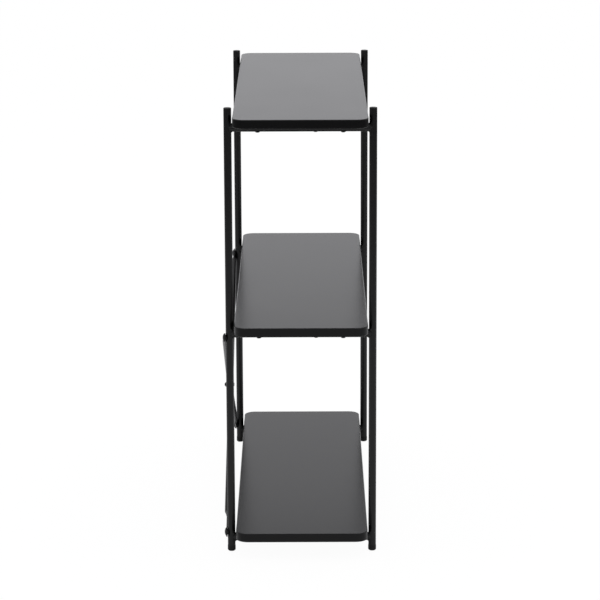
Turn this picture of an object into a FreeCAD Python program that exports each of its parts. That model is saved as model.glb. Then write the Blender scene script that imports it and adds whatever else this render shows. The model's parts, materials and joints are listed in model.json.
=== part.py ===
import FreeCAD, Part
import math
import os

# Low shelving unit: three boards between two welded tube frames, with a crossed brace behind the lower bay.
# Lengths are in millimetres. X runs along the boards, the front is towards -Y and +Z is up.
# The origin lies on the floor, in the middle of the whole unit.

# Boards
shelf_length = 800.0
shelf_depth = 240.0
shelf_thickness = 16.0
shelf_corner_radius = 22.0
shelf_edge_radius = 1.5

# Upper face of the bottom board above the floor, clear heights of the bays, and posts above the top board
bottom_shelf_height = 49.0
lower_bay_height = 369.0
upper_bay_height = 360.0
post_rise = 13.0

# End frames
tube_diameter = 14.0
tube_wall = 1.2
board_gap = 2.0
board_overhang = 54.0
saddle_ear_setback = 1.5

# Plugs in the tops of the posts and glides in their feet
cap_thickness = 2.0
cap_edge_radius = 1.2
glide_height = 10.0
glide_lip = 0.3
glide_edge_radius = 3.0
stem_length = 12.0
stem_clearance = 0.1
stem_chamfer = 1.0

# Screws that hold the boards, driven up through the crossbars
screw_diameter = 4.0
screw_head_diameter = 8.0
screw_head_height = 1.8
screw_spacing = 152.0
locating_screw_diameter = 3.0
locating_screw_head_diameter = 6.5
locating_screw_head_height = 0.9
locating_screw_offset = 27.0
screw_bite = 11.0
screw_point_length = 3.0
screw_clearance = 0.25
pilot_clearance = 0.05

# Tubes of the brace
brace_diameter = 10.0
brace_wall = 1.0
brace_upper_drop = 7.5
brace_lower_rise = 10.0
brace_tip_reach = 10.5
brace_upper_flat = 9.0
brace_upper_flare = 18.0
brace_lower_flat = 40.0
brace_lower_flare = 12.0
brace_middle_flat = 16.0
brace_middle_flare = 22.0
brace_slit = 0.2
brace_flat_edge_share = 0.8
flare_step_shares = (0.0, 0.25, 0.5, 0.75, 1.0)

# Bolts, nut and threaded inserts of the brace
bolt_diameter = 6.0
bolt_clearance = 0.25
thread_clearance = 0.05
end_head_diameter = 15.0
end_head_height = 3.2
end_head_rim = 0.8
middle_head_diameter = 12.0
middle_head_height = 4.6
middle_head_rim = 1.4
middle_bolt_tail = 1.5
nut_width = 10.0
nut_height = 6.0
nut_collar_height = 1.6
washer_diameter = 12.0
washer_thickness = 1.6
insert_diameter = 9.0
insert_flange_diameter = 11.0
insert_flange_thickness = 0.5
insert_length = 9.0
insert_spare_thread = 2.0
insert_clearance = 0.05

# One overrun serves all cuts
cut_overrun = 5.0

# Radii and the lie of the end frames
post_radius = tube_diameter / 2
bore_radius = post_radius - tube_wall
glide_radius = post_radius + glide_lip
frame_x = shelf_length / 2 - board_overhang
post_offset = shelf_depth / 2 + board_gap + post_radius
brace_flat = 2 * brace_wall
diagonal_share = math.sqrt(1 / 2)

# Heights of the other boards and of the whole unit
middle_shelf_height = bottom_shelf_height + lower_bay_height + shelf_thickness
top_shelf_height = middle_shelf_height + upper_bay_height + shelf_thickness
unit_height = top_shelf_height + post_rise

# The unit reaches further to the rear, at the nut of the brace, than to the front
brace_rest = post_radius + insert_flange_thickness
front_reach = post_offset + glide_radius
rear_reach = post_offset + brace_rest + 2 * brace_flat + washer_thickness + nut_height + middle_bolt_tail
board_y = (front_reach - rear_reach) / 2
front_y = board_y - post_offset
rear_y = board_y + post_offset
brace_face_y = rear_y + brace_rest

# Names and places of the repeated pieces
shelf_heights = {"top": top_shelf_height, "middle": middle_shelf_height, "bottom": bottom_shelf_height}
side_places = {"left": -frame_x, "right": frame_x}
row_places = {"front": front_y, "rear": rear_y}
screw_places = (-screw_spacing / 2, screw_spacing / 2)

# Bolts of the brace, set in from the axes of the crossbars
crossbar_drop = shelf_thickness + post_radius
upper_bolt_z = middle_shelf_height - crossbar_drop - brace_upper_drop
lower_bolt_z = bottom_shelf_height - crossbar_drop + brace_lower_rise
brace_middle_z = (upper_bolt_z + lower_bolt_z) / 2
brace_half_rise = (upper_bolt_z - lower_bolt_z) / 2
brace_half_span = math.hypot(frame_x, brace_half_rise)
brace_angle = math.degrees(math.atan2(brace_half_rise, frame_x))
brace_flat_half_width = (math.pi * (brace_diameter - brace_wall) / 2 + brace_wall) / 2

along_x = FreeCAD.Vector(1, 0, 0)
along_y = FreeCAD.Vector(0, 1, 0)
along_z = FreeCAD.Vector(0, 0, 1)


def point(x, y, z):
    return FreeCAD.Vector(x, y, z)


def rod(radius, start, end):
    """Solid round bar between two points."""
    return Part.makeCylinder(radius, (end - start).Length, start, end - start)


def arc(start, middle, end):
    return Part.Arc(start, middle, end).toShape()


def turned(edges):
    """Solid of revolution about Z from the edges of a half section in the XZ plane."""
    return Part.Face(Part.Wire(edges)).revolve(point(0, 0, 0), along_z, 360)


def polyline(points):
    return [Part.makeLine(start, end) for start, end in zip(points, points[1:])]


def laid_along_y(solid, x, y, z, turn):
    """Turns a solid made about Z so that its +Z points along Y, towards +Y or, with turn -1, towards -Y."""
    placed = solid.copy()
    placed.rotate(point(0, 0, 0), along_x, -90 * turn)
    placed.translate(point(x, y, z))
    return placed


def board_outline(z):
    """Rectangle with rounded corners."""
    half_length = shelf_length / 2
    half_depth = shelf_depth / 2
    radius = shelf_corner_radius
    corners = ((1, 1), (-1, 1), (-1, -1), (1, -1))
    diagonal = radius * diagonal_share
    ends = []
    arcs = []
    for sign_x, sign_y in corners:
        centre = point(sign_x * (half_length - radius), board_y + sign_y * (half_depth - radius), z)
        on_end = centre + point(sign_x * radius, 0, 0)
        on_side = centre + point(0, sign_y * radius, 0)
        start, end = (on_end, on_side) if sign_x == sign_y else (on_side, on_end)
        arcs.append(arc(start, centre + point(sign_x * diagonal, sign_y * diagonal, 0), end))
        ends.append((start, end))
    edges = []
    for index, corner in enumerate(arcs):
        edges += [corner, Part.makeLine(ends[index][1], ends[(index + 1) % len(ends)][0])]
    return Part.Wire(edges)


def shelf(height):
    """Board with rounded corners, eased edges and pilot holes for its screws."""
    underside = height - shelf_thickness
    board = Part.Face(board_outline(underside)).extrude(along_z * shelf_thickness)
    rims = [edge for edge in board.Edges if abs(edge.BoundBox.ZLength) < shelf_edge_radius]
    board = board.makeFillet(shelf_edge_radius, rims)
    pilots = []
    for x in side_places.values():
        for y, diameter in screw_sites():
            foot = point(x, y, underside)
            end = foot + along_z * (screw_bite + pilot_clearance)
            pilots.append(rod(diameter / 2 + pilot_clearance, foot, end))
    return board.cut(pilots)


def screw_sites():
    """Places along a crossbar of its screws, with the diameter of each."""
    sites = [(board_y + place, screw_diameter) for place in screw_places]
    return sites + [(board_y - locating_screw_offset, locating_screw_diameter)]


def post(x, y, inserts):
    """Tube between a plug and a glide, holed in its rear wall where it takes threaded inserts."""
    foot = point(x, y, glide_height)
    head = point(x, y, unit_height - cap_thickness)
    tube = rod(post_radius, foot, head).cut(rod(bore_radius, foot, head))
    for z in inserts:
        tube = tube.cut(rod(insert_diameter / 2 + insert_clearance, point(x, y, z),
                            point(x, y + post_radius + cut_overrun, z)))
    return tube


def crossbar(x, height):
    """Tube between the posts of an end frame, with saddle cuts at its ends and holes for the screws."""
    z = height - crossbar_drop
    start = point(x, front_y + saddle_ear_setback, z)
    end = point(x, rear_y - saddle_ear_setback, z)
    tube = rod(post_radius, start, end).cut(rod(bore_radius, start, end))
    reach = along_z * (post_radius + cut_overrun)
    tools = [rod(post_radius, point(x, y, z) - reach, point(x, y, z) + reach) for y in row_places.values()]
    for y, diameter in screw_sites():
        tools.append(rod(diameter / 2 + screw_clearance, point(x, y, z) - reach, point(x, y, z) + reach))
    return tube.cut(tools)


def stem_edges(outer, base, direction):
    """Half section of a plug's stem, from the axis at its tip to its root at the given height."""
    radius = bore_radius - stem_clearance
    tip = base + direction * stem_length
    return [point(0, 0, tip), point(radius - stem_chamfer, 0, tip),
            point(radius, 0, tip - direction * stem_chamfer), point(radius, 0, base), point(outer, 0, base)]


def post_cap(x, y):
    """Plug with a thin round-edged head on the end of the tube."""
    seat = unit_height - cap_thickness
    rim = post_radius - cap_edge_radius
    bend = cap_edge_radius * diagonal_share
    shoulder = unit_height - cap_edge_radius
    low = point(post_radius, 0, shoulder)
    high = point(rim, 0, unit_height)
    edges = polyline(stem_edges(post_radius, seat, -1) + [low])
    edges.append(arc(low, point(rim + bend, 0, shoulder + bend), high))
    edges += polyline([high, point(0, 0, unit_height), point(0, 0, seat - stem_length)])
    cap = turned(edges)
    cap.translate(point(x, y, 0))
    return cap


def foot_glide(x, y):
    """Glide under the end of the tube, a little wider than it, with a rounded lower edge."""
    rim = glide_radius - glide_edge_radius
    bend = glide_edge_radius * diagonal_share
    high = point(glide_radius, 0, glide_edge_radius)
    low = point(rim, 0, 0)
    edges = polyline(stem_edges(glide_radius, glide_height, 1) + [high])
    edges.append(arc(high, point(rim + bend, 0, glide_edge_radius - bend), low))
    edges += polyline([low, point(0, 0, 0), point(0, 0, glide_height + stem_length)])
    glide = turned(edges)
    glide.translate(point(x, y, 0))
    return glide


def domed_fastener(diameter, head_diameter, head_height, rim_height, length, point_length):
    """Fastener about Z with its head below Z = 0, a domed crown and a shank that may come to a point."""
    head_radius = head_diameter / 2
    crown = head_height - rim_height
    sphere = (head_radius ** 2 + crown ** 2) / (2 * crown)
    half_way = math.asin(head_radius / sphere) / 2
    middle = point(sphere * math.sin(half_way), 0, -head_height + sphere * (1 - math.cos(half_way)))
    shank = [point(0, 0, length), point(diameter / 2, 0, length - point_length)]
    if point_length == 0:
        shank = [point(0, 0, length), point(diameter / 2, 0, length)]
    rim = point(head_radius, 0, -rim_height)
    edges = polyline(shank + [point(diameter / 2, 0, 0), point(head_radius, 0, 0), rim])
    edges.append(arc(rim, middle, point(0, 0, -head_height)))
    edges.append(Part.makeLine(point(0, 0, -head_height), point(0, 0, length)))
    return turned(edges)


def shelf_screw(diameter, head_diameter, head_height):
    rim_height = head_height / 2
    length = tube_diameter + screw_bite
    return domed_fastener(diameter, head_diameter, head_height, rim_height, length, screw_point_length)


def screws_under(height, sample, places):
    """Group of like screws in both end frames, heads against the undersides of the crossbars."""
    screws = []
    for x in side_places.values():
        for y in places:
            screw = sample.copy()
            screw.translate(point(x, y, height - shelf_thickness - tube_diameter))
            screws.append(screw)
    return Part.makeCompound(screws)


def tube_section(station, offset, half_width, half_height, flatness):
    """Closed section of a brace tube, square to X: round at flatness 0 and pressed flat at flatness 1."""
    across = half_width * diagonal_share * (1 - flatness)
    across += (half_width - half_height * brace_flat_edge_share) * flatness
    up = half_height * (diagonal_share * (1 - flatness) + flatness)

    def place(y, z):
        return point(station, offset + y, z)

    corners = [place(-up, across), place(up, across), place(up, -across), place(-up, -across)]
    if flatness == 1:
        rear = Part.makeLine(corners[1], corners[2])
        front = Part.makeLine(corners[3], corners[0])
    else:
        rear = arc(corners[1], place(half_height, 0), corners[2])
        front = arc(corners[3], place(-half_height, 0), corners[0])
    upper = arc(corners[0], place(0, half_width), corners[1])
    lower = arc(corners[2], place(0, -half_width), corners[3])
    return Part.Wire([upper, rear, lower, front])


def outer_section(station, offset, flatness):
    half_width = brace_diameter / 2 * (1 - flatness) + brace_flat_half_width * flatness
    half_height = brace_diameter / 2 * (1 - flatness) + brace_flat / 2 * flatness
    return tube_section(station, offset, half_width, half_height, flatness)


def bore_section(station, offset, flatness):
    bore = brace_diameter / 2 - brace_wall
    half_width = bore * (1 - flatness) + (brace_flat_half_width - brace_wall) * flatness
    half_height = bore * (1 - flatness) + brace_slit / 2 * flatness
    return tube_section(station, offset, half_width, half_height, flatness)


def flare(section, flat_station, round_station, offset):
    """Smooth run of sections from pressed flat to round."""
    wires = []
    for share in flare_step_shares:
        flatness = 1 - share * share * (3 - 2 * share)
        wires.append(section(flat_station + (round_station - flat_station) * share, offset, flatness))
    return Part.makeLoft(wires, True)


def straight_run(section, start, end, flatness):
    """Run between two sections alike in form, each given by its station and its offset."""
    return Part.makeLoft([section(*start, flatness), section(*end, flatness)], True, True)


def half_brace(section, bow, end_flat, end_flare, with_flats):
    """Runs of half a brace tube along +X, from its middle, bowed to the rear, to its bolted end."""
    middle_round = brace_middle_flat + brace_middle_flare
    flat_start = brace_half_span - end_flat
    round_end = flat_start - end_flare
    runs = [
        flare(section, brace_middle_flat, middle_round, bow),
        straight_run(section, (middle_round, bow), (round_end, 0), 0),
        flare(section, flat_start, round_end, 0),
    ]
    if with_flats:
        tip = brace_half_span + brace_tip_reach
        runs.append(straight_run(section, (0, bow), (brace_middle_flat, bow), 1))
        runs.append(straight_run(section, (flat_start, 0), (tip, 0), 1))
    return runs


def whole_brace(section, bow, with_flats):
    """Brace tube along X, with its upper end towards +X."""
    upper = half_brace(section, bow, brace_upper_flat, brace_upper_flare, with_flats)
    lower = half_brace(section, bow, brace_lower_flat, brace_lower_flare, with_flats)
    for run in lower:
        run.rotate(point(0, 0, 0), along_y, 180)
    return upper[0].fuse(upper[1:] + lower)


def tip_cutter():
    """What lies outside the rounded tip of a flat end at +X."""
    width = brace_flat_half_width + cut_overrun
    reach = along_y * (brace_diameter + cut_overrun)
    centre = point(brace_half_span + brace_tip_reach - brace_flat_half_width, 0, 0)
    block = Part.makeBox(width, 2 * reach.Length, 2 * width, centre - reach - along_z * width)
    return block.cut(rod(brace_flat_half_width, centre - reach, centre + reach))


def brace_bar(upper_side, bow):
    """Tube pressed flat at its ends and middle, laid at the slope of the brace, its upper end to one side."""
    bar = whole_brace(outer_section, bow, True).removeSplitter().cut(whole_brace(bore_section, bow, False))
    reach = along_y * (brace_diameter + cut_overrun)
    tools = []
    for station in (-brace_half_span, 0, brace_half_span):
        place = point(station, 0, 0)
        tools.append(rod(bolt_diameter / 2 + bolt_clearance, place - reach, place + reach))
    for turn in (0, 180):
        tip = tip_cutter()
        tip.rotate(point(0, 0, 0), along_y, turn)
        tools.append(tip)
    bar = bar.cut(tools)
    bar.rotate(point(0, 0, 0), along_y, -brace_angle)
    if upper_side == "left":
        bar = bar.mirror(point(0, 0, 0), along_x)
    bar.translate(point(0, brace_face_y + brace_flat / 2, brace_middle_z))
    return bar


def bolt_sites():
    return [(x, z) for x in side_places.values() for z in (upper_bolt_z, lower_bolt_z)]


def brace_end_bolts():
    """Bolts through the ends of the brace into the inserts, heads to the rear."""
    length = brace_flat + insert_flange_thickness + insert_length - insert_spare_thread
    sample = domed_fastener(bolt_diameter, end_head_diameter, end_head_height, end_head_rim, length, 0)
    head_y = brace_face_y + brace_flat
    return Part.makeCompound([laid_along_y(sample, x, head_y, z, -1) for x, z in bolt_sites()])


def threaded_bore(length):
    """Plain bore for the bolts' thread through a piece of some length above Z = 0."""
    radius = bolt_diameter / 2 + thread_clearance
    return rod(radius, point(0, 0, -cut_overrun), point(0, 0, length + cut_overrun))


def brace_inserts():
    """Threaded sleeves with a thin flange, set in the rear walls of the posts."""
    flange = rod(insert_flange_diameter / 2, point(0, 0, -insert_flange_thickness), point(0, 0, 0))
    sleeve = rod(insert_diameter / 2, point(0, 0, 0), point(0, 0, insert_length))
    sample = flange.fuse(sleeve).removeSplitter().cut(threaded_bore(insert_length))
    seat_y = rear_y + post_radius
    return Part.makeCompound([laid_along_y(sample, x, seat_y, z, -1) for x, z in bolt_sites()])


def middle_bolt():
    """Bolt at the crossing of the brace, head to the front."""
    length = 2 * brace_flat + 2 * washer_thickness + nut_height + middle_bolt_tail
    sample = domed_fastener(bolt_diameter, middle_head_diameter, middle_head_height, middle_head_rim,
                            length, 0)
    return laid_along_y(sample, 0, brace_face_y - washer_thickness, brace_middle_z, 1)


def middle_washers():
    """Washers under the head and under the nut of the middle bolt."""
    washers = []
    for seat in (brace_face_y - washer_thickness, brace_face_y + 2 * brace_flat):
        start = point(0, seat, brace_middle_z)
        end = start + along_y * washer_thickness
        hole = rod(bolt_diameter / 2 + bolt_clearance, start, end)
        washers.append(rod(washer_diameter / 2, start, end).cut(hole))
    return Part.makeCompound(washers)


def middle_nut():
    """Hexagon nut with a plain round collar on its outer face."""
    seat = brace_face_y + 2 * brace_flat + washer_thickness
    reach = nut_width / math.sqrt(3)
    turns = [math.radians(60 * step) for step in range(7)]
    corners = [point(reach * math.cos(turn), reach * math.sin(turn), 0) for turn in turns]
    hexagon = Part.Face(Part.makePolygon(corners)).extrude(along_z * (nut_height - nut_collar_height))
    collar = rod(nut_width / 2, point(0, 0, nut_height - nut_collar_height), point(0, 0, nut_height))
    nut = hexagon.fuse(collar).removeSplitter().cut(threaded_bore(nut_height))
    return laid_along_y(nut, 0, seat, brace_middle_z, 1)


def pieces():
    """Every node of the unit by its name."""
    made = {}
    full_screw = shelf_screw(screw_diameter, screw_head_diameter, screw_head_height)
    flat_screw = shelf_screw(locating_screw_diameter, locating_screw_head_diameter,
                             locating_screw_head_height)
    full_places = [board_y + place for place in screw_places]
    flat_places = [board_y - locating_screw_offset]
    for level, height in shelf_heights.items():
        made[level + "_shelf"] = shelf(height)
        made[level + "_shelf_screws"] = screws_under(height, full_screw, full_places)
        made[level + "_shelf_locating_screws"] = screws_under(height, flat_screw, flat_places)
        for side, x in side_places.items():
            made[level + "_" + side + "_crossbar"] = crossbar(x, height)
    for row, y in row_places.items():
        inserts = (upper_bolt_z, lower_bolt_z) if row == "rear" else ()
        for side, x in side_places.items():
            name = row + "_" + side
            made[name + "_post"] = post(x, y, inserts)
            made[name + "_post_cap"] = post_cap(x, y)
            made[name + "_foot_glide"] = foot_glide(x, y)
    made["outer_brace_bar"] = brace_bar("left", brace_flat)
    made["inner_brace_bar"] = brace_bar("right", 0)
    made["brace_end_bolts"] = brace_end_bolts()
    made["brace_inserts"] = brace_inserts()
    made["brace_middle_bolt"] = middle_bolt()
    made["brace_middle_washers"] = middle_washers()
    made["brace_middle_nut"] = middle_nut()
    return made


os.makedirs("parts", exist_ok=True)
for node, shape in pieces().items():
    print(node, len(shape.Solids), shape.isValid(), round(shape.Volume))
    shape.exportStep("parts/" + node + ".step")
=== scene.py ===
import json
import math
import random

import bpy
from mathutils import Matrix, Vector


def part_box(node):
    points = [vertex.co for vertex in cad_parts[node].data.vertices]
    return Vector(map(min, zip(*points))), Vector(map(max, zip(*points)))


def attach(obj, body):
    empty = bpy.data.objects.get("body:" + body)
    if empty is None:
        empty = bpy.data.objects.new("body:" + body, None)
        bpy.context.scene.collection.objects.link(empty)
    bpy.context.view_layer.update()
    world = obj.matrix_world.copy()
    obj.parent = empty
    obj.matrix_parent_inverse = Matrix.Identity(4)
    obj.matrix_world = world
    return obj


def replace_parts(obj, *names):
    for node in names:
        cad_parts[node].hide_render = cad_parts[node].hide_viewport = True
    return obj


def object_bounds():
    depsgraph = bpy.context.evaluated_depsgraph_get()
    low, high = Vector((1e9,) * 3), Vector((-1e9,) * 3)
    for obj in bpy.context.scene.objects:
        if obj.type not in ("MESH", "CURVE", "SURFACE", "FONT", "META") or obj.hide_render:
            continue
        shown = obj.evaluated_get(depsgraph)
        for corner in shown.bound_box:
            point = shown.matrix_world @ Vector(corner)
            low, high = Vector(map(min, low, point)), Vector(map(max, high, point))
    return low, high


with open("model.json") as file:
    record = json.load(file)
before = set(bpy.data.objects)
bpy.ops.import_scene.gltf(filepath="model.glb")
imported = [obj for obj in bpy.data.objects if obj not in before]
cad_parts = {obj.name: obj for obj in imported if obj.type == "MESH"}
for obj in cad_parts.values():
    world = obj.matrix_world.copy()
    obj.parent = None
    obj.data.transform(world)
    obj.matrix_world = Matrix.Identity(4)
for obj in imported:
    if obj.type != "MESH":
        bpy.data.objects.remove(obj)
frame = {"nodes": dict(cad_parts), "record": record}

cad_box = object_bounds()

# Lengths are in metres, apart from the camera's lens in millimetres, and the lamp's power is in watts.
# X runs along the boards, the front is towards -Y and +Z is up.

# Camera: at eye level off the left end of the unit, looking along the boards
camera_place = Vector((-4.956, -0.01225, 1.6011))
camera_pitch = math.radians(13.75)
camera_yaw = math.radians(0.092)
camera_roll = math.radians(-0.22)
camera_lens = 158.5
camera_far = 100.0

# Room: a pale floor with a painted pool of light round the unit, white surroundings, dimmer overhead, and a
# soft lamp
floor_width = 60.0
floor_tone = 0.95
floor_glow_tone = 1.02
floor_lift_share = 0.94
floor_gloss_share = 0.2
# Painted pool of light on the floor: full tone within the near reach, then painted shade down to the far
# share at the far reach
painted_light_pool_near = 2.0
painted_light_pool_far = 3.8
painted_light_pool_far_share = 0.15
room_tint = 1.03
room_low_angle = math.radians(8.6)
room_high_angle = math.radians(18.7)
room_low_tone = 1.09
room_high_tone = 0.69
ceiling_lamp_place = Vector((0.6, -0.2, 3.2))
ceiling_lamp_width = 3.0
ceiling_lamp_power = 20.0
shown_rays = ("Is Camera Ray", "Is Glossy Ray", "Is Transmission Ray")

# Lacquer of the boards: its tones and sheen, and the clouds and grain in them
lacquer_dark_tone = 0.0020
lacquer_light_tone = 0.0030
lacquer_tint = 1.05
lacquer_roughness = 0.22
lacquer_cloud_roughness = 0.02
lacquer_grain_roughness = 0.02
lacquer_refraction = 1.295
lacquer_cloud_width = 0.11
lacquer_grain_width = 0.0011
lacquer_grain_depth = 0.000012

# Powder coat of the tubes
coat_dark_tone = 0.0012
coat_light_tone = 0.0024
coat_roughness = 0.24
coat_cloud_roughness = 0.04
coat_grain_roughness = 0.06
coat_refraction = 1.38
coat_cloud_width = 0.04
coat_grain_width = 0.0007
coat_grain_depth = 0.00006

# Plastic of the plugs and glides
plastic_dark_tone = 0.004
plastic_light_tone = 0.007
plastic_roughness = 0.45
plastic_grain_roughness = 0.10
plastic_refraction = 1.30
plastic_grain_width = 0.0005
plastic_grain_depth = 0.00004

# Black steel of the bolts, nut and screws
steel_dark_tone = 0.003
steel_light_tone = 0.007
steel_roughness = 0.30
steel_cloud_roughness = 0.12
steel_refraction = 1.32
steel_cloud_width = 0.0033
steel_grain_width = 0.00025
steel_grain_depth = 0.000015

# Fineness of the clouds and grain of all finishes
noise_detail = 2.5

# Forms of the fasteners, and the seed of their random turns
round_sides = 48
hexagon_sides = 6
crown_rings = 6
smooth_angle = math.radians(35)
merge_reach = 0.000001
turn_seed = 12

# Bolts of the brace
bolt_width = 0.006
bolt_pitch = 0.001
end_head_width = 0.015
end_head_height = 0.0032
end_head_rim = 0.0008
middle_head_width = 0.012
middle_head_height = 0.0046
middle_head_rim = 0.0014
socket_width = 0.004
socket_depth = 0.0019
socket_cone_depth = 0.0005
socket_cone_share = 0.4

# Screws of the boards
board_head_width = 0.008
board_head_height = 0.0018
board_screw_width = 0.004
board_screw_pitch = 0.0018
locating_head_width = 0.0065
locating_head_height = 0.0009
locating_screw_width = 0.003
locating_screw_pitch = 0.0014
head_rim_share = 0.5
slot_length_share = 0.55
slot_width_share = 0.13
slot_depth_share = 0.7
slot_taper_share = 0.45
thread_depth_share = 0.12

# Nut at the crossing of the brace
nut_width = 0.010
nut_collar_height = 0.0016
nut_chamfer_height = 0.0005
nut_land_share = 0.96
nut_collar_share = 0.90
nut_lip_share = 0.86
nut_lip_height_share = 0.3

# Weld seams between posts and crossbars
weld_radius = 0.0014
weld_segments = 240
weld_sides = 12
weld_ripples = 30
weld_ripple_share = 0.07
weld_side_share = 0.35
weld_wrap_share = 0.975


class Value:
    """A socket of a node tree, with arithmetic that adds Math nodes."""

    def __init__(self, tree, socket):
        self.tree = tree
        self.socket = socket

    def math(self, operation, other):
        return self.tree.node("ShaderNodeMath", {"operation": operation}, {0: self, 1: other})

    def __add__(self, other):
        return self.math("ADD", other)

    def __mul__(self, other):
        return self.math("MULTIPLY", other)

    __radd__ = __add__
    __rmul__ = __mul__


class Tree:
    """Node tree of a material or of the world."""

    def __init__(self, owner):
        owner.use_nodes = True
        self.owner = owner
        self.nodes = owner.node_tree.nodes
        self.links = owner.node_tree.links
        self.nodes.clear()

    def node(self, kind, settings=None, inputs=None, output=0):
        """Adds a node, makes its settings, then sets or links its sockets, and gives one of its outputs."""
        made = self.nodes.new(kind)
        for name, setting in (settings or {}).items():
            setattr(made, name, setting)
        for name, value in (inputs or {}).items():
            if isinstance(value, Value):
                self.links.new(value.socket, made.inputs[name])
            else:
                made.inputs[name].default_value = value
        return Value(self, made.outputs[output]) if made.outputs else None


def new_finish(name):
    return Tree(bpy.data.materials.new(name))


def object_place(tree):
    return tree.node("ShaderNodeTexCoord", output="Object")


def noise(tree, place, width):
    """Soft random value about 0.5, in clouds or grains of a given width."""
    return tree.node("ShaderNodeTexNoise", {}, {"Vector": place, "Scale": 1 / width, "Detail": noise_detail})


def blend(tree, share, first, second):
    """Colour between two colours, by the numbered colour sockets of a Mix node."""
    return tree.node("ShaderNodeMix", {"data_type": "RGBA"}, {0: share, 6: first, 7: second}, 2)


def relief(tree, height, depth):
    """Normal of a surface with grain of a given depth."""
    return tree.node("ShaderNodeBump", {}, {"Height": height, "Strength": 1.0, "Distance": depth})


def grey(tone, tint=1.0):
    return (tone, tone, tone * tint, 1.0)


def surface(tree, colour, roughness, normal, refraction):
    """Closes a material with its shader."""
    inputs = {"Base Color": colour, "Roughness": roughness, "Normal": normal, "IOR": refraction}
    shader = tree.node("ShaderNodeBsdfPrincipled", {}, inputs)
    tree.node("ShaderNodeOutputMaterial", {}, {"Surface": shader})
    return tree.owner


def board_lacquer():
    """Satin black lacquer on the boards, with a faint peel and clouds in its sheen."""
    tree = new_finish("board_lacquer")
    place = object_place(tree)
    cloud = noise(tree, place, lacquer_cloud_width)
    grain = noise(tree, place, lacquer_grain_width)
    dark = grey(lacquer_dark_tone, lacquer_tint)
    light = grey(lacquer_light_tone, lacquer_tint)
    roughness = lacquer_roughness + lacquer_cloud_roughness * cloud + lacquer_grain_roughness * grain
    normal = relief(tree, grain, lacquer_grain_depth)
    return surface(tree, blend(tree, cloud, dark, light), roughness, normal, lacquer_refraction)


def frame_coat():
    """Fine satin powder coat on the tubes."""
    tree = new_finish("frame_coat")
    place = object_place(tree)
    cloud = noise(tree, place, coat_cloud_width)
    grain = noise(tree, place, coat_grain_width)
    colour = blend(tree, cloud, grey(coat_dark_tone), grey(coat_light_tone))
    roughness = coat_roughness + coat_cloud_roughness * cloud + coat_grain_roughness * grain
    return surface(tree, colour, roughness, relief(tree, grain, coat_grain_depth), coat_refraction)


def black_plastic():
    """Moulded plastic of the plugs and glides."""
    tree = new_finish("black_plastic")
    grain = noise(tree, object_place(tree), plastic_grain_width)
    colour = blend(tree, grain, grey(plastic_dark_tone), grey(plastic_light_tone))
    roughness = plastic_roughness + plastic_grain_roughness * grain
    return surface(tree, colour, roughness, relief(tree, grain, plastic_grain_depth), plastic_refraction)


def black_steel():
    """Black finish of the bolts, nut and screws."""
    tree = new_finish("black_steel")
    place = object_place(tree)
    cloud = noise(tree, place, steel_cloud_width)
    grain = noise(tree, place, steel_grain_width)
    colour = blend(tree, cloud, grey(steel_dark_tone), grey(steel_light_tone))
    roughness = steel_roughness + steel_cloud_roughness * cloud
    return surface(tree, colour, roughness, relief(tree, grain, steel_grain_depth), steel_refraction)


def make_finishes():
    """Finishes by the slots of the frame."""
    return {
        "board_lacquer": board_lacquer(),
        "frame_coat": frame_coat(),
        "black_plastic": black_plastic(),
        "black_fastener": black_steel(),
    }


def dress_nodes():
    """Gives every node of the frame the finish of its slot."""
    slots = {row["node"]: row["material_slot"] for row in frame["record"]["subparts"]}
    for name, node in frame["nodes"].items():
        for place in node.material_slots:
            place.material = finishes[slots[name]]


def deselect():
    bpy.ops.object.select_all(action="DESELECT")


def take_up(piece):
    """Makes a piece the only one selected, and the active one."""
    deselect()
    piece.select_set(True)
    bpy.context.view_layer.objects.active = piece


def pick_end_face(piece, direction):
    """Enters edit mode with only the top face selected, or for -1 the bottom face."""
    bpy.ops.object.mode_set(mode="EDIT")
    bpy.ops.mesh.select_mode(type="FACE")
    bpy.ops.mesh.select_all(action="DESELECT")
    bpy.ops.object.mode_set(mode="OBJECT")
    end = max(piece.data.polygons, key=lambda face: direction * face.center.z)
    end.select = True
    bpy.ops.object.mode_set(mode="EDIT")


def leave_edit():
    bpy.ops.object.mode_set(mode="OBJECT")


def grow(rise, share, height):
    """Extrudes the selected end face along Z, up to a height, and sizes its new outline about the axis."""
    bpy.ops.mesh.extrude_region_move(TRANSFORM_OT_translate={"value": (0, 0, rise)})
    bpy.ops.transform.resize(value=(share, share, 1), center_override=(0, 0, height))


def drum(sides, radius, low, high, turn=0):
    """Prism or round drum about Z between two heights, to be shaped further."""
    deselect()
    bpy.ops.mesh.primitive_cylinder_add(vertices=sides, radius=radius, depth=high - low,
                                        location=(0, 0, (low + high) / 2), rotation=(0, 0, turn))
    bpy.ops.object.transform_apply(location=True, rotation=True, scale=True)
    return bpy.context.object


def domed_head(width, height, rim):
    """Round head about Z with its seat at Z = 0: a low wall, closed by rings that follow a ball."""
    head = drum(round_sides, width / 2, 0, rim)
    crown = height - rim
    ball = ((width / 2) ** 2 + crown ** 2) / (2 * crown)
    reach = math.asin(width / 2 / ball)
    radius = width / 2
    top = rim
    pick_end_face(head, 1)
    for ring in range(1, crown_rings + 1):
        turn = reach * (1 - ring / (crown_rings + 1))
        next_radius = ball * math.sin(turn)
        next_top = height - ball * (1 - math.cos(turn))
        grow(next_top - top, next_radius / radius, next_top)
        radius = next_radius
        top = next_top
    leave_edit()
    return head


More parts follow.
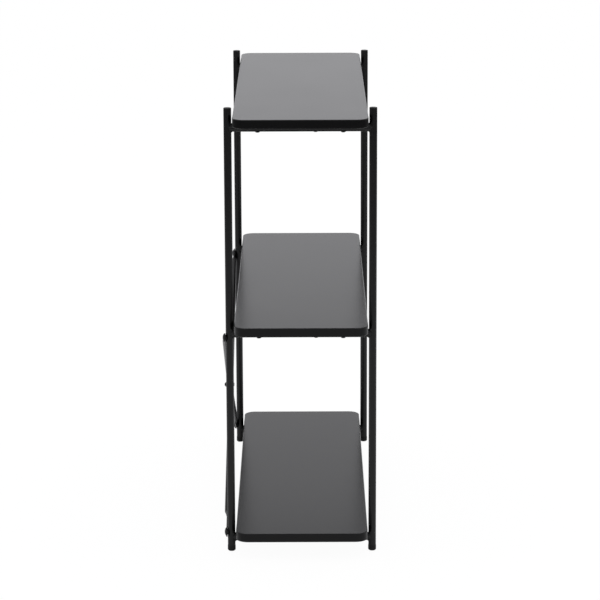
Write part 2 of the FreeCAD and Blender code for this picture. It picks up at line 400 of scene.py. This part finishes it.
def add_shank(head, head_width, width, length, pitch):
    """Ridged shank under a head, with a short taper at its end."""
    root_share = 1 - 2 * thread_depth_share
    ridges = int(length / pitch) - 1
    depth = length - ridges * pitch - pitch / 2
    pick_end_face(head, -1)
    bpy.ops.mesh.inset(thickness=(head_width - width) / 2)
    grow(-depth, 1, -depth)
    for ridge in range(ridges):
        for share in (root_share, 1 / root_share):
            depth += pitch / 2
            grow(-pitch / 2, share, -depth)
    grow(-pitch / 2, root_share, -depth - pitch / 2)
    leave_edit()


def combine(piece, tool, operation):
    """Cuts a piece with a tool, or keeps what both share, and removes the tool."""
    change = piece.modifiers.new("change", "BOOLEAN")
    change.operation = operation
    change.solver = "EXACT"
    change.object = tool
    take_up(piece)
    bpy.ops.object.modifier_apply(modifier=change.name)
    bpy.data.objects.remove(tool)


def hexagon_tool(top):
    """Form of a hexagon socket, with a shallow cone at its bottom."""
    tool = drum(hexagon_sides, socket_width / math.sqrt(3), top - socket_depth, top + socket_depth)
    pick_end_face(tool, -1)
    grow(-socket_cone_depth, socket_cone_share, top - socket_depth - socket_cone_depth)
    leave_edit()
    return tool


def slot_tool(top, length, width, depth):
    """Form of one slot of a cross recess, narrowing to its bottom."""
    deselect()
    bpy.ops.mesh.primitive_cube_add(size=1, location=(0, 0, top), scale=(length, width, 2 * depth))
    bpy.ops.object.transform_apply(location=True, rotation=True, scale=True)
    tool = bpy.context.object
    pick_end_face(tool, -1)
    bpy.ops.transform.resize(value=(slot_taper_share, slot_taper_share, 1),
                             center_override=(0, 0, top - depth))
    leave_edit()
    return tool


def finish_sample(piece, slot):
    """Merges a sample's doubles, points its faces outwards, smooths it and gives it a finish."""
    take_up(piece)
    bpy.ops.object.mode_set(mode="EDIT")
    bpy.ops.mesh.select_all(action="SELECT")
    bpy.ops.mesh.remove_doubles(threshold=merge_reach)
    bpy.ops.mesh.normals_make_consistent(inside=False)
    leave_edit()
    bpy.ops.object.shade_smooth_by_angle(angle=smooth_angle)
    piece.data.materials.clear()
    piece.data.materials.append(finishes[slot])


def set_out(sample, name, places):
    """Copies a sample to each of its places and joins the copies into one piece."""
    copies = []
    for place in places:
        copy = bpy.data.objects.new(name, sample.data.copy())
        copy.data.transform(place)
        bpy.context.scene.collection.objects.link(copy)
        copies.append(copy)
    bpy.data.objects.remove(sample)
    take_up(copies[0])
    for copy in copies:
        copy.select_set(True)
    if len(copies) > 1:
        bpy.ops.object.join()
    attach(copies[0], "root")
    return copies[0]


def turned_any_way():
    """Random turn of a fastener about its own axis, as fitting leaves it."""
    return Matrix.Rotation(chance.uniform(0, 2 * math.pi), 4, "Z")


def socket_bolt(head_width, head_height, head_rim, length):
    """Bolt with a domed head and a hexagon socket."""
    bolt = domed_head(head_width, head_height, head_rim)
    add_shank(bolt, head_width, bolt_width, length, bolt_pitch)
    combine(bolt, hexagon_tool(head_height), "DIFFERENCE")
    finish_sample(bolt, "black_fastener")
    return bolt


def cross_screw(head_width, head_height, width, length, pitch):
    """Screw with a low domed head and a cross recess."""
    screw = domed_head(head_width, head_height, head_height * head_rim_share)
    add_shank(screw, head_width, width, length, pitch)
    long_side = head_width * slot_length_share
    short_side = head_width * slot_width_share
    depth = head_height * slot_depth_share
    combine(screw, slot_tool(head_height, long_side, short_side, depth), "DIFFERENCE")
    combine(screw, slot_tool(head_height, short_side, long_side, depth), "DIFFERENCE")
    finish_sample(screw, "black_fastener")
    return screw


def fit_end_bolts():
    """Bolts at the ends of the brace, heads to the rear."""
    low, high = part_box("brace_end_bolts")
    seat = high.y - end_head_height
    sample = socket_bolt(end_head_width, end_head_height, end_head_rim, seat - low.y)
    inset = end_head_width / 2
    to_rear = Matrix.Rotation(-math.pi / 2, 4, "X")
    places = []
    for x in (low.x + inset, high.x - inset):
        for z in (low.z + inset, high.z - inset):
            places.append(Matrix.Translation((x, seat, z)) @ to_rear @ turned_any_way())
    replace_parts(set_out(sample, "end_bolts", places), "brace_end_bolts")


def fit_middle_bolt():
    """Bolt at the crossing of the brace, head to the front."""
    low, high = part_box("brace_middle_bolt")
    middle = (low + high) / 2
    seat = low.y + middle_head_height
    sample = socket_bolt(middle_head_width, middle_head_height, middle_head_rim, high.y - seat)
    to_front = Matrix.Rotation(math.pi / 2, 4, "X")
    places = [Matrix.Translation((middle.x, seat, middle.z)) @ to_front @ turned_any_way()]
    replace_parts(set_out(sample, "middle_bolt", places), "brace_middle_bolt")


def fit_screws(node, name, head_width, head_height, width, pitch):
    """Screws under the crossbars of one board, heads down, in one row or, in a deep box, in two."""
    low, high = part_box(node)
    seat = low.z + head_height
    sample = cross_screw(head_width, head_height, width, high.z - seat, pitch)
    inset = head_width / 2
    rows = [low.y + inset]
    if high.y - low.y > 2 * head_width:
        rows.append(high.y - inset)
    heads_down = Matrix.Rotation(math.pi, 4, "X")
    places = []
    for x in (low.x + inset, high.x - inset):
        for y in rows:
            places.append(Matrix.Translation((x, y, seat)) @ heads_down @ turned_any_way())
    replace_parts(set_out(sample, name, places), node)


def fit_board_screws():
    for level in ("top", "middle", "bottom"):
        fit_screws(level + "_shelf_screws", level + "_board_screws", board_head_width, board_head_height,
                   board_screw_width, board_screw_pitch)
        fit_screws(level + "_shelf_locating_screws", level + "_board_locating_screws", locating_head_width,
                   locating_head_height, locating_screw_width, locating_screw_pitch)


def chamfered_hexagon(height):
    """Hexagon about Z whose upper corners are turned down to a round land."""
    corner = nut_width / math.sqrt(3)
    hexagon = drum(hexagon_sides, corner, 0, 2 * height, math.pi / hexagon_sides)
    turned = drum(round_sides, corner, -height, height - nut_chamfer_height)
    pick_end_face(turned, 1)
    grow(nut_chamfer_height, nut_width / 2 * nut_land_share / corner, height)
    leave_edit()
    combine(hexagon, turned, "INTERSECT")
    return hexagon


def fit_nut():
    """Hexagon nut with a collar whose lip is turned in."""
    low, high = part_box("brace_middle_nut")
    middle = (low + high) / 2
    height = high.y - low.y
    shoulder = height - nut_collar_height
    lip = nut_collar_height * nut_lip_height_share
    nut = chamfered_hexagon(shoulder)
    pick_end_face(nut, 1)
    bpy.ops.mesh.inset(thickness=nut_width / 2 * (nut_land_share - nut_collar_share))
    grow(nut_collar_height - lip, 1, height - lip)
    grow(lip, nut_lip_share, height)
    leave_edit()
    combine(nut, drum(round_sides, bolt_width / 2, -height, 2 * height), "DIFFERENCE")
    finish_sample(nut, "black_fastener")
    places = [Matrix.Translation((middle.x, low.y, middle.z)) @ Matrix.Rotation(-math.pi / 2, 4, "X")]
    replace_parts(set_out(nut, "middle_nut", places), "brace_middle_nut")


def weld_seam(tube_radius):
    """Rippled bead about Y, thinner at its sides and draped over a post at the origin, towards +Y."""
    deselect()
    bpy.ops.mesh.primitive_torus_add(major_radius=tube_radius, minor_radius=weld_radius,
                                     major_segments=weld_segments, minor_segments=weld_sides,
                                     rotation=(math.pi / 2, 0, 0))
    bpy.ops.object.transform_apply(location=True, rotation=True, scale=True)
    seam = bpy.context.object
    for vertex in seam.data.vertices:
        around = math.atan2(vertex.co.z, vertex.co.x)
        heart = tube_radius * Vector((math.cos(around), 0, math.sin(around)))
        swell = weld_side_share + (1 - weld_side_share) * abs(math.sin(around))
        swell *= 1 + weld_ripple_share * math.cos(weld_ripples * around)
        drape = math.sqrt(tube_radius ** 2 - (heart.x * weld_wrap_share) ** 2)
        vertex.co = heart + (vertex.co - heart) * swell + Vector((0, drape, 0))
    finish_sample(seam, "frame_coat")
    return seam


def lay_weld_seams():
    """Seams where each crossbar meets its posts, as one piece for each end frame."""
    for side in ("left", "right"):
        places = []
        for row, turn in (("front", 0), ("rear", math.pi)):
            post_low, post_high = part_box(row + "_" + side + "_post")
            spot = (post_low + post_high) / 2
            for level in ("top", "middle", "bottom"):
                bar_low, bar_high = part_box(level + "_" + side + "_crossbar")
                spot.z = (bar_low.z + bar_high.z) / 2
                places.append(Matrix.Translation(spot) @ Matrix.Rotation(turn, 4, "Z"))
        set_out(weld_seam((post_high.x - post_low.x) / 2), side + "_frame_welds", places)


def floor_finish():
    """Pale floor with the unit's shadow, lifted to white in straight looks, and in others a painted pool of
    light that is darker far out.
    """
    tree = new_finish("floor")
    straight, gloss, glass = [tree.node("ShaderNodeLightPath", output=kind) for kind in shown_rays]
    mirrored = gloss.math("MAXIMUM", glass) * floor_gloss_share
    lift = mirrored.math("MAXIMUM", straight * floor_lift_share)
    reach = tree.node("ShaderNodeVectorMath", {"operation": "LENGTH"}, {0: object_place(tree)}, "Value")
    # Painted pool of light: outside straight looks, the floor fades towards black with distance from the
    # unit
    ends = {"From Min": painted_light_pool_near, "From Max": painted_light_pool_far, "To Min": 1.0, "To Max": painted_light_pool_far_share}
    painted_light_pool = tree.node("ShaderNodeMapRange", {}, {"Value": reach, **ends})
    # Black that the painted pool of light fades into, as painted shade far out
    dark = tree.node("ShaderNodeBsdfDiffuse", {}, {"Color": grey(0.0)})
    shaded = tree.node("ShaderNodeBsdfDiffuse", {}, {"Color": grey(floor_tone)})
    lifted = tree.node("ShaderNodeEmission", {}, {"Color": grey(floor_glow_tone)})
    pale = tree.node("ShaderNodeMixShader", {}, {0: lift, 1: shaded, 2: lifted})
    whole = tree.node("ShaderNodeMixShader", {}, {0: straight.math("MAXIMUM", painted_light_pool), 1: dark, 2: pale})
    tree.node("ShaderNodeOutputMaterial", {}, {"Surface": whole})
    return tree.owner


def lay_floor():
    deselect()
    bpy.ops.mesh.primitive_plane_add(size=floor_width, location=(0, 0, cad_box[0].z))
    floor = bpy.context.object
    floor.name = "floor"
    floor.data.materials.append(floor_finish())


def light_room():
    """Surroundings that look white and whose light is strongest low down and fades upwards."""
    world = bpy.data.worlds.new("room")
    bpy.context.scene.world = world
    tree = Tree(world)
    straight = tree.node("ShaderNodeLightPath", output="Is Camera Ray")
    direction = tree.node("ShaderNodeTexCoord", output="Generated")
    rise = tree.node("ShaderNodeSeparateXYZ", {}, {0: direction}, "Z")
    ends = {"From Min": math.sin(room_low_angle), "From Max": math.sin(room_high_angle),
            "To Min": room_low_tone, "To Max": room_high_tone}
    fade = tree.node("ShaderNodeMapRange", {}, {"Value": rise, **ends})
    strength = straight.math("MAXIMUM", fade)
    light = tree.node("ShaderNodeBackground", {}, {"Color": grey(1.0, room_tint), "Strength": strength})
    tree.node("ShaderNodeOutputWorld", {}, {"Surface": light})


def hang_ceiling_lamp():
    lamp = bpy.data.lights.new("ceiling_lamp", "AREA")
    lamp.shape = "SQUARE"
    lamp.size = ceiling_lamp_width
    lamp.energy = ceiling_lamp_power
    held = bpy.data.objects.new("ceiling_lamp", lamp)
    held.location = ceiling_lamp_place
    bpy.context.scene.collection.objects.link(held)


def set_camera():
    lens = bpy.data.cameras.new("camera")
    lens.lens = camera_lens
    lens.clip_end = camera_far
    camera = bpy.data.objects.new("camera", lens)
    bpy.context.scene.collection.objects.link(camera)
    heading = Matrix.Rotation(camera_yaw - math.pi / 2, 4, "Z")
    tilt = Matrix.Rotation(math.pi / 2 - camera_pitch, 4, "X")
    lean = Matrix.Rotation(camera_roll, 4, "Z")
    camera.matrix_world = Matrix.Translation(camera_place) @ heading @ tilt @ lean
    bpy.context.scene.camera = camera


chance = random.Random(turn_seed)
finishes = make_finishes()
dress_nodes()
fit_end_bolts()
fit_middle_bolt()
fit_board_screws()
fit_nut()
lay_weld_seams()
lay_floor()
light_room()
hang_ceiling_lamp()
set_camera()
bpy.context.scene.view_settings.view_transform = "Standard"
